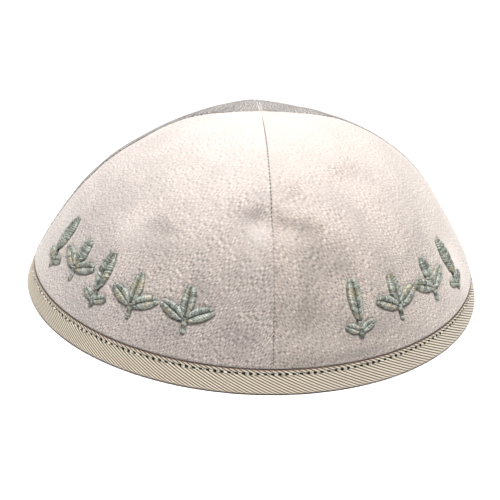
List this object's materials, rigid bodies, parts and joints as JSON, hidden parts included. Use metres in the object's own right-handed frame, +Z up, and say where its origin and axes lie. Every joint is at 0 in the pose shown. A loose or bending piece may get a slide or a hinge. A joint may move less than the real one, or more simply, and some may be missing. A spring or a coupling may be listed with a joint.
{
  "type": "kippah skullcap",
  "caption": "Shallow round skullcap of soft velvet panels seamed to a point at the crown, its open rim bound with ribbed twill tape.",
  "frame": {"origin": "centre of the rim, on the surface that the cap rests on", "axes": "+Z up through the crown, -Y to the front seam, +X to the right seam seen from the front"},
  "size_m": [0.1898, 0.19, 0.076],
  "materials": {
    "velvet": "short-pile velvet, pale blush beige, soft sheen",
    "twill_tape": "ribbed twill tape, grey beige, slightly lustrous",
    "backing_cloth": "plain woven backing on the inside of the panels, matt",
    "embroidery_thread": "satin-stitched rayon thread, sage grey, silky",
    "sewing_thread": "fine cotton thread, matt beige"
  },
  "bodies": {
    "root": {"panel_front_left": "velvet", "panel_front_right": "velvet", "panel_back_left": "velvet", "panel_back_right": "velvet", "rim_binding": "twill_tape"}
  },
  "joints": []
}
